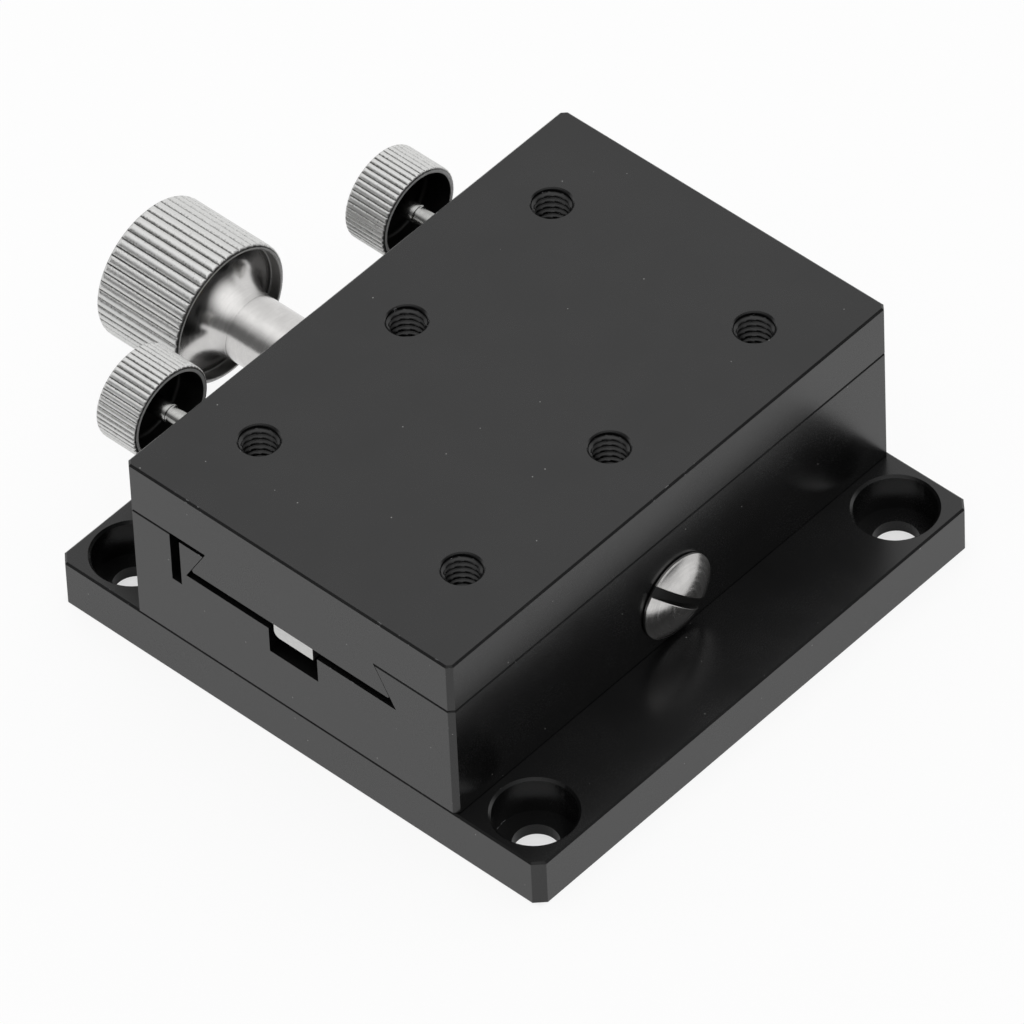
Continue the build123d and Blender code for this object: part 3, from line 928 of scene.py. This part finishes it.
@dataclass
class ClampStud:
    """The screw of a clamp knob: a plain shank, an undercut neck and an M2 thread."""

    node: str
    body: str
    finish: TurnedFinish
    axis: Axis
    shank_mm: float = 2.0
    neck_mm: float = 1.7
    thread_mm: float = 2.0
    core_mm: float = 1.57
    thread_pitch_mm: float = 0.4
    shoulder_mm: float = 5.0
    thread_end_mm: float = 9.9
    ring_break_mm: float = 0.08
    columns: int = 48
    rows_per_turn: int = 8
    sharp_degrees: float = 45.0

    def build(self) -> None:
        """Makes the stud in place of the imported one, and dresses it."""
        low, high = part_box(self.node)
        end = high.y
        shoulder = end - self.shoulder_mm * MM
        thread_end = end - self.thread_end_mm * MM
        neck = self.neck_mm * MM / 2
        shank = self.shank_mm * MM / 2
        crest = self.thread_mm * MM / 2
        core = self.core_mm * MM / 2
        pitch = self.thread_pitch_mm * MM
        ring = self.ring_break_mm * MM
        foot = low.y
        count = math.ceil((thread_end - foot) / pitch * self.rows_per_turn)
        thread_rows = [(crest, foot + (thread_end - foot) * i / count) for i in range(count + 1)]
        rows = thread_rows + [
            (neck, thread_end + ring), (neck, shoulder - 2 * ring), (neck + ring, shoulder - ring / 2),
            (shank - ring, shoulder), (shank, shoulder + ring), (shank, end - ring), (shank - ring, end)]

        def rule(radius: float, along: float, angle: float) -> float:
            """Lowers the threaded rows to the thread's own height.

            Args:
                radius: The row's radius.
                along: The row's place along Y.
                angle: The angle about the axis, in radians.

            Returns:
                The radius at that angle.
            """
            if along > thread_end + ring / 2:
                return radius
            lead = min(1.0, (thread_end - along) / pitch, (along - foot) / pitch)
            return core + (radius - core) * max(0.0, lead) * thread_rise(along, angle, pitch)

        draft = MeshDraft()
        rings = self.axis.turn(draft, rows, self.columns, rule)
        draft.cap(rings[0])
        draft.cap(rings[-1])
        stud = draft.piece(f"{self.node}_turned", self.sharp_degrees)
        self.finish.dress(stud)
        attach(stud, self.body)
        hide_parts(self.node)
        LOG.info("%s threaded at %.1f mm pitch", stud.name, self.thread_pitch_mm)


@dataclass
class TensionScrew:
    """The domed, slotted screw that sets the drag of the drive."""

    node: str
    body: str
    finish: TurnedFinish
    axis: Axis
    shadow: GrainedFinish
    rim_mm: float = 0.35
    dome_mm: float = 1.2
    slot_width_mm: float = 1.1
    slot_depth_mm: float = 1.35
    slot_degrees: float = 45.0
    slot_break_mm: float = 0.05
    rim_round_mm: float = 0.1
    rim_start_degrees: float = -60.0
    rim_steps: int = 3
    shank_mm: float = 3.0
    rows: int = 40
    columns: int = 48
    sharp_degrees: float = 28.0

    def height(self, radius: float) -> float:
        """Gives the dome's height above the rim at a radius.

        Args:
            radius: The distance from the screw's axis.

        Returns:
            The height.
        """
        low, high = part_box(self.node)
        edge = (high.z - low.z) / 2 - self.rim_round_mm * MM
        dome = self.dome_mm * MM
        ball = (edge ** 2 + dome ** 2) / (2 * dome)
        return math.sqrt(max(0.0, ball ** 2 - min(radius, edge) ** 2)) - (ball - dome)

    def across(self) -> list[Point]:
        """Gives the lines that the head is ruled along, across the slot.

        Returns:
            The distance of each line from the slot's middle, and how far it is cut down.
        """
        low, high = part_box(self.node)
        edge = (high.z - low.z) / 2 - self.rim_round_mm * MM
        half = self.slot_width_mm * MM / 2
        bevel = self.slot_break_mm * MM
        deep = self.slot_depth_mm * MM
        steps = [edge * math.sin(math.pi * (i / self.rows - 0.5)) for i in range(self.rows + 1)]
        outer = [(v, 0.0) for v in steps if abs(v) > half + 2 * bevel]
        below = [line for line in outer if line[0] < 0]
        above = [line for line in outer if line[0] > 0]
        slot = [(-half - bevel, 0.0), (-half, bevel), (-half, deep), (0.0, deep),
                (half, deep), (half, bevel), (half + bevel, 0.0)]
        return below + slot + above

    def build(self) -> None:
        """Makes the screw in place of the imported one, and dresses it."""
        low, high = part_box(self.node)
        radius = (high.z - low.z) / 2
        edge = radius - self.rim_round_mm * MM
        rim = low.y + self.dome_mm * MM
        floor = self.dome_mm * MM - self.slot_depth_mm * MM
        slot_turn = math.radians(self.slot_degrees)
        along_slot = Vector((math.cos(slot_turn), 0.0, -math.sin(slot_turn)))
        across_slot = Vector((math.sin(slot_turn), 0.0, math.cos(slot_turn)))
        centre = Vector((self.axis.x, rim, self.axis.z))
        out = Vector((0.0, -1.0, 0.0))
        draft = MeshDraft()
        lines = []
        for v, cut in self.across():
            chord = math.sqrt(max(0.0, edge ** 2 - v ** 2))
            points = []
            for k in range(self.columns + 1):
                u = chord * math.sin(math.pi * (k / self.columns - 0.5))
                dome = self.height(math.hypot(u, v))
                level = min(dome, max(dome - cut, floor))
                points.append(centre + along_slot * u + across_slot * v + out * level)
            lines.append(draft.ring(points))
        for first, second in zip(lines, lines[1:]):
            draft.strip(first, second, closed=False)
        loop = [line[-1] for line in lines] + [line[0] for line in reversed(lines)]
        seat = rim + self.rim_mm * MM
        shank = self.shank_mm * MM / 2
        rounding = self.rim_round_mm * MM
        profile = quarter((edge, rim + rounding), rounding, self.rim_start_degrees, 0.0, self.rim_steps)
        profile += [(radius, seat - rounding / 2), (radius - rounding / 2, seat)]
        profile += [(shank, seat), (shank, high.y)]
        previous = loop
        for ring_radius, along in profile:
            points = []
            for number in loop:
                arm = draft.points[number] - centre
                level = max(along, draft.points[number].y)
                arm.y = 0.0
                points.append(Vector((centre.x, level, centre.z)) + arm.normalized() * ring_radius)
            ring = draft.ring(points)
            draft.strip(previous, ring)
            previous = ring
        draft.cap(previous)
        screw = draft.piece(f"{self.node}_domed", self.sharp_degrees)
        self.finish.dress(screw)
        # painted shadow: a near-black second material goes on the slot's walls and floor
        screw.data.materials.append(self.shadow.material())
        half = (self.slot_width_mm / 2 + self.slot_break_mm / 4) * MM
        for face in screw.data.polygons:
            arm = face.center - centre
            cut = self.height(math.hypot(arm.x, arm.z)) + arm.y > 3 * self.slot_break_mm * MM
            if abs(arm.dot(across_slot)) < half and cut and arm.y < self.rim_mm * MM:
                face.material_index = 1
        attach(screw, self.body)
        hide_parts(self.node)
        LOG.info("%s slotted at %.0f degrees", screw.name, self.slot_degrees)


@dataclass
class PlainPart:
    """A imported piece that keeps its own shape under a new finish."""

    node: str
    finish: Finish

    def build(self) -> None:
        """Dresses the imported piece."""
        self.finish.dress(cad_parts[self.node])
        LOG.info("%s dressed in %s", self.node, self.finish.name)


@dataclass
class Studio:
    """A pale floor, a soft sky that is dimmer low down at the near side, a faint lamp and the camera."""

    floor_mm: float = 4000.0
    floor_gap_mm: float = 0.02
    floor_roughness: float = 0.9
    floor_tone: float = 0.96
    floor_glow: float = 0.9
    covered_mm: Point = (28.0, 30.0)
    covered_shade: Point = (0.36, 1.0)
    sky: float = 1.35
    far_sky: float = 1.0
    band: float = 0.16
    band_reach: Point = (0.45, 1.0)
    far_side: Place = (0.707, 0.707, 0.0)
    far_reach: Point = (0.0, 0.4)
    lamp_mm: Place = (-190.0, 580.0, 1030.0)
    lamp_size_mm: Point = (500.0, 300.0)
    lamp_watts: float = 0.06
    azimuth: float = -45.996
    elevation: float = 46.302
    roll: float = -2.711
    lens_mm: float = 467.26
    sensor_mm: float = 36.0
    clip_m: Point = (0.05, 20.0)
    camera_mm: Place = (-610.9, -589.8, 896.6)

    def world(self) -> None:
        """Lights the scene from all round: bright above and at the far side, and dim at the near side."""
        world = bpy.data.worlds.new("studio")
        bpy.context.scene.world = world
        sheet = ShaderSheet(world)
        way = sheet.node("ShaderNodeTexCoord").outputs["Generated"]
        level = sheet.parts(way)["Z"]
        above = sheet.span(level, self.band_reach, (self.band, self.sky), smooth=True)
        far = sheet.vector("DOT_PRODUCT", way, self.far_side)
        beyond = sheet.span(far, self.far_reach, (self.band, self.far_sky), smooth=True)
        sky = sheet.tree.nodes["Background"]
        sheet.feed(sky.inputs["Strength"], sheet.maths("MAXIMUM", above, beyond))
        sheet.feed(sky.inputs["Color"], (1.0, 1.0, 1.0, 1.0))

    def floor(self) -> None:
        """Lays the pale floor, white to the eye and in reflections, with the stage's shadow on it."""
        half = self.floor_mm * MM / 2
        drop = self.floor_gap_mm * MM
        draft = MeshDraft()
        draft.cap(draft.ring(
            Vector((x * half, y * half, -drop)) for x, y in ((-1, -1), (1, -1), (1, 1), (-1, 1))))
        floor = draft.piece("studio_floor")
        paper = bpy.data.materials.new("studio_paper")
        sheet = ShaderSheet(paper)
        sheet.paint("Base Color", (self.floor_tone, self.floor_tone, self.floor_tone, 1.0))
        sheet.paint("Roughness", self.floor_roughness)
        rays = sheet.node("ShaderNodeLightPath")
        seen = self.uncovered(sheet, rays.outputs["Is Camera Ray"], self.covered_shade[0])
        mirrored = self.uncovered(sheet, rays.outputs["Is Glossy Ray"], self.covered_shade[1])
        seen = sheet.maths("MAXIMUM", seen, mirrored)
        seen = sheet.maths("MAXIMUM", seen, rays.outputs["Is Transmission Ray"])
        glow = sheet.node("ShaderNodeEmission")
        mixed = sheet.node("ShaderNodeMixShader")
        sheet.feed(mixed.inputs[0], sheet.maths("MULTIPLY", seen, self.floor_glow))
        sheet.feed(mixed.inputs[1], sheet.surface.outputs[0])
        sheet.feed(mixed.inputs[2], glow.outputs[0])
        sheet.feed(sheet.tree.nodes["Material Output"].inputs["Surface"], mixed.outputs[0])
        floor.data.materials.append(paper)

    def uncovered(self, sheet: ShaderSheet, rays: Socket, shade: float) -> Socket:
        """Dims the floor's glow where the base plate keeps the light off the paper.

        Args:
            sheet: The floor's sheet.
            rays: 1 for the rays that see the glow.
            shade: How much of the glow is lost under the plate.

        Returns:
            The share of the glow that those rays see.
        """
        apart = sheet.parts(sheet.place())
        across = sheet.maths("ABSOLUTE", apart["X"])
        along = sheet.maths("ABSOLUTE", apart["Y"])
        kept = sheet.span(sheet.maths("MAXIMUM", across, along), self.covered_mm, (1.0 - shade, 1.0))
        return sheet.maths("MULTIPLY", rays, kept)

    def lamp(self) -> None:
        """Hangs one faint, soft lamp that faces the stage."""
        data = bpy.data.lights.new("key", "AREA")
        data.shape = "RECTANGLE"
        data.size = self.lamp_size_mm[0] * MM
        data.size_y = self.lamp_size_mm[1] * MM
        data.energy = self.lamp_watts
        lamp = bpy.data.objects.new("key", data)
        lamp.location = Vector(self.lamp_mm) * MM
        lamp.rotation_mode = "QUATERNION"
        lamp.rotation_quaternion = lamp.location.to_track_quat("Z", "Y")
        bpy.context.scene.collection.objects.link(lamp)

    def camera(self) -> None:
        """Sets the camera where the picture was taken from."""
        a = math.radians(self.azimuth)
        e = math.radians(self.elevation)
        r = math.radians(self.roll)
        back = Vector((math.sin(a) * math.cos(e), -math.cos(a) * math.cos(e), math.sin(e)))
        right = (-back).cross(Vector((0.0, 0.0, 1.0))).normalized()
        down = (-back).cross(right)
        turned_right = right * math.cos(r) - down * math.sin(r)
        turned_down = right * math.sin(r) + down * math.cos(r)
        data = bpy.data.cameras.new("camera")
        data.lens = self.lens_mm
        data.sensor_width = self.sensor_mm
        data.clip_start, data.clip_end = self.clip_m
        camera = bpy.data.objects.new("camera", data)
        turn = Matrix((turned_right, -turned_down, back)).transposed()
        camera.matrix_world = Matrix.Translation(Vector(self.camera_mm) * MM) @ turn.to_4x4()
        bpy.context.scene.collection.objects.link(camera)
        bpy.context.scene.camera = camera

    def build(self) -> None:
        """Sets up everything round the stage."""
        bpy.context.scene.view_settings.view_transform = "Standard"
        self.world()
        self.floor()
        self.lamp()
        self.camera()
        LOG.info("studio lit and camera placed")


@dataclass
class ManualStage:
    """The whole stage, made of its sub-assemblies in the order that they are put together."""

    drive_z_mm: float = 10.5
    drive_knob_mm: float = 10.4
    drive_dish_mm: float = 1.25
    clamp_x_mm: float = 17.0
    clamp_z_mm: float = 16.45
    clamp_knob_mm: float = 5.0
    clamp_dish_mm: float = 3.2
    floor_margin_mm: float = 0.3
    knurl_count: int = 50

    def floor_of(self, node: str, knob_mm: float, dish_mm: float) -> float:
        """Gives the place along Y, just inside a knob, where its dish has ended.

        Args:
            node: The knob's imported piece.
            knob_mm: The knob's length.
            dish_mm: The dish's depth.

        Returns:
            The place in millimetres.
        """
        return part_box(node)[1].y / MM - knob_mm + dish_mm + self.floor_margin_mm

    def base(self) -> list[object]:
        """Gives the fixed parts: the plate, the block and what is fastened in them.

        Returns:
            The parts.
        """
        pin = GrainedFinish("hardened_pin", Slot.POLISHED, (0.62, 0.62, 0.62), gloss=0.2)
        polymer = GrainedFinish("washer_polymer", Slot.POLYMER, (0.72, 0.71, 0.67), metal=0.0, gloss=0.5)
        finishes = {"base_plate": ANODISED, "base_block": ANODISED, "base_screws": BLACK_OXIDE,
                    "stop_pin": pin, "knob_side_bush": BRASS, "screw_side_bush": BRASS,
                    "friction_washer": polymer}
        return [PlainPart(node, finish) for node, finish in finishes.items()]

    def table(self) -> list[object]:
        """Gives the moving table, its threads and its rack.

        Returns:
            The parts.
        """
        ground = GrainedFinish("ground_rack", Slot.RACK, (0.66, 0.66, 0.65), gloss=0.42,
                               grain_mm=(0.06, 0.5, 0.06))
        screw = GrainedFinish("rack_screw_steel", Slot.POLISHED, (0.6, 0.6, 0.6), gloss=0.28)
        return [PlainPart("slide_table", ANODISED), TappedHoles("slide_table", "table", ANODISED),
                PlainPart("rack", ground), PlainPart("rack_screws", screw)]

    def drive(self) -> list[object]:
        """Gives the shaft with its knob, washers and tension screw.

        Returns:
            The parts.
        """
        axis = Axis(0.0, self.drive_z_mm * MM)
        neck = TurnedFinish("polished_shaft", Slot.POLISHED, axis_z_mm=self.drive_z_mm, gloss=0.19,
                            ring_depth_mm=0.0006, brushed=0.2, worn_share=0.9)
        head = TurnedFinish("plated_screw", Slot.POLISHED, axis_z_mm=self.drive_z_mm, gloss=0.22, ring_mm=0.3,
                            ring_depth_mm=0.0006, brushed=0.1)
        knob = KnurledFinish("drive_knob_steel", Slot.KNURLED, axis_z_mm=self.drive_z_mm,
                             ring_depth_mm=0.0008, brushed=0.2, worn_share=0.9,
                             floor_mm=self.floor_of("drive_knob", self.drive_knob_mm, self.drive_dish_mm))
        spring = GrainedFinish("spring_steel", Slot.POLISHED, (0.5, 0.5, 0.5))
        # painted shadow: the near-black material for the tension screw's slot
        shadow = GrainedFinish("slot_painted_shadow", Slot.POLISHED, (0.09, 0.09, 0.09), gloss=0.4)
        turned = KnurledKnob(
            "drive_knob", "pinion", KnobStyle.FLARED, knob, axis, length_mm=self.drive_knob_mm,
            knurl_count=self.knurl_count, knurl_depth_mm=0.26, rim_wall_mm=0.6,
            dish_depth_mm=self.drive_dish_mm, dish_corner_mm=0.2, end_round_mm=0.6, bore_mm=5.04,
            rim_round_mm=0.45, shaft_mm=7.0, flare_mm=(3.0, 3.85), grub_hole_mm=3.04, grub_along_mm=5.825)
        screw = TensionScrew("tension_screw", "pinion", head, axis, shadow)
        return [PlainPart("pinion_shaft", neck), turned, PlainPart("drive_knob_grub_screw", BLACK_OXIDE),
                PlainPart("spring_washer", spring), screw]

    def clamp(self, side: str, x_mm: float) -> list[object]:
        """Gives one clamp screw with its knob and tip.

        Args:
            side: Its name, front or rear.
            x_mm: Its place along X.

        Returns:
            The parts.
        """
        axis = Axis(x_mm * MM, self.clamp_z_mm * MM)
        node = f"{side}_clamp_knob"
        steel = KnurledFinish(f"{side}_clamp_steel", Slot.KNURLED, axis_x_mm=x_mm, axis_z_mm=self.clamp_z_mm,
                              crest_mm=5.0, valley_mm=4.8, dish_mm=4.35, wall_mm=(1.05, 1.3), wall_share=0.12,
                              floor_mm=self.floor_of(node, self.clamp_knob_mm, self.clamp_dish_mm))
        stud = TurnedFinish(f"{side}_stud_steel", Slot.POLISHED, axis_x_mm=x_mm, axis_z_mm=self.clamp_z_mm,
                            gloss=0.2, ring_mm=0.08, colour=(0.42, 0.42, 0.41))
        turned = KnurledKnob(
            node, f"{side}_clamp", KnobStyle.PLAIN, steel, axis, length_mm=self.clamp_knob_mm,
            knurl_count=self.knurl_count, knurl_depth_mm=0.2, rim_wall_mm=0.65,
            dish_depth_mm=self.clamp_dish_mm, dish_corner_mm=0.4, end_round_mm=0.4, bore_mm=2.04,
            rim_round_mm=0.3)
        return [turned, ClampStud(f"{side}_clamp_stud", f"{side}_clamp", stud, axis),
                PlainPart(f"{side}_clamp_tip", BRASS)]

    def build(self) -> None:
        """Builds every sub-assembly in order."""
        parts = self.base() + self.table() + self.drive()
        parts += self.clamp("front", -self.clamp_x_mm) + self.clamp("rear", self.clamp_x_mm)
        for part in parts:
            part.build()


def main() -> None:
    """Builds the studio and the stage."""
    logging.basicConfig(level=logging.INFO, format="%(message)s")
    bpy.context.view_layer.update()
    Studio().build()
    ManualStage().build()


if __name__ == "__main__":
    main()
